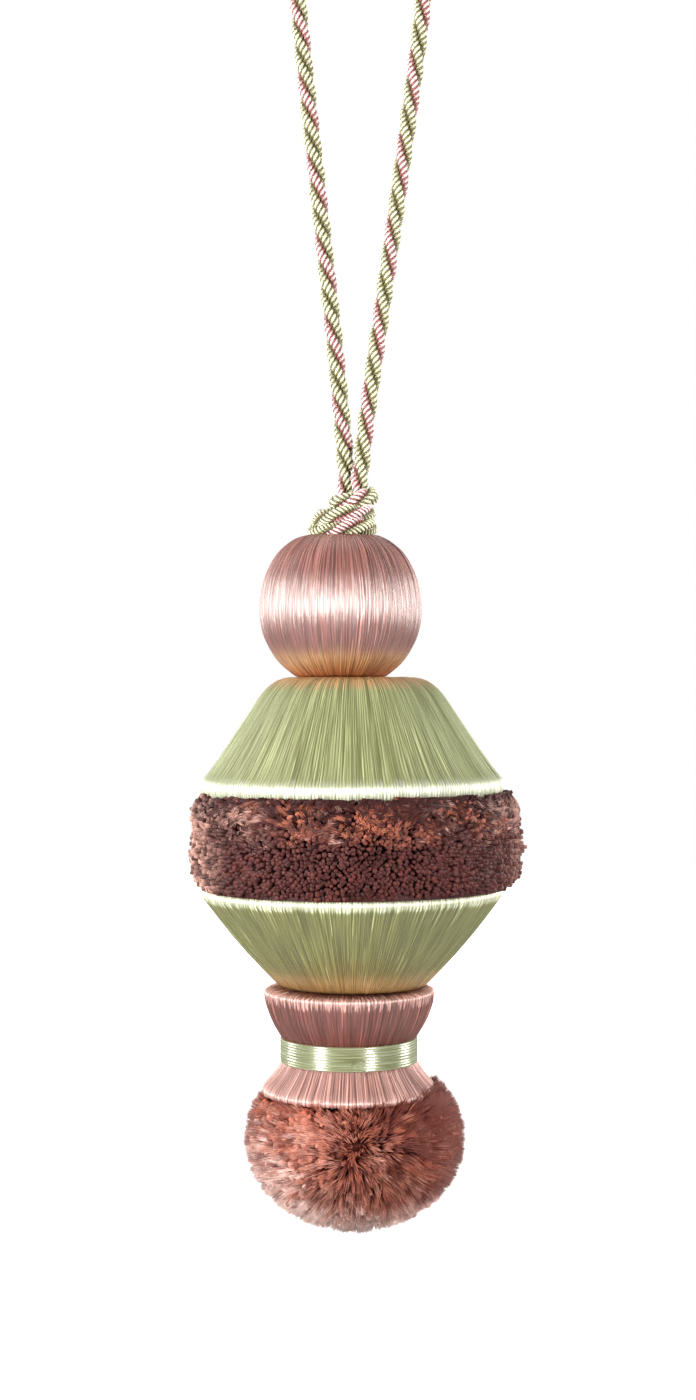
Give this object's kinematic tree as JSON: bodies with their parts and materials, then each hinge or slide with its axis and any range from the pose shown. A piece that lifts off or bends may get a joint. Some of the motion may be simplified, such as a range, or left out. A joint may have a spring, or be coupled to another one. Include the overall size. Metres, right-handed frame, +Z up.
{
  "type": "key tassel",
  "caption": "Hanging key tassel: a looped twisted cord over a wound ball, two wound cones with a cut-pile ruff between them, a waisted spool and a pompom.",
  "frame": {"origin": "inside of the top of the cord loop, where the tassel hangs from a key, knob or hook", "axes": "+Z up along the cord, +X to the right across the flat of the loop, -Y to the viewer"},
  "size_m": [0.0607, 0.0599, 0.2433],
  "materials": {
    "twisted_cord": "bright viscose floss, three-ply, two pale green plies and one pink",
    "pink_floss": "shiny pink viscose floss laid side by side",
    "green_floss": "shiny sage green viscose floss laid side by side",
    "binding_floss": "shiny pale green viscose floss wound round",
    "ruff_pile": "dense cut pile of viscose yarn, deep mauve brown",
    "pompom_pile": "dense cut pile of viscose yarn, rust pink"
  },
  "bodies": {
    "root": {"hanging_cord": "twisted_cord", "cord_knot": "twisted_cord", "head_ball": "pink_floss", "upper_cone": "green_floss", "pile_ruff": "ruff_pile", "lower_cone": "green_floss", "spool": "pink_floss", "waist_binding": "binding_floss", "pompom": "pompom_pile"}
  },
  "joints": []
}
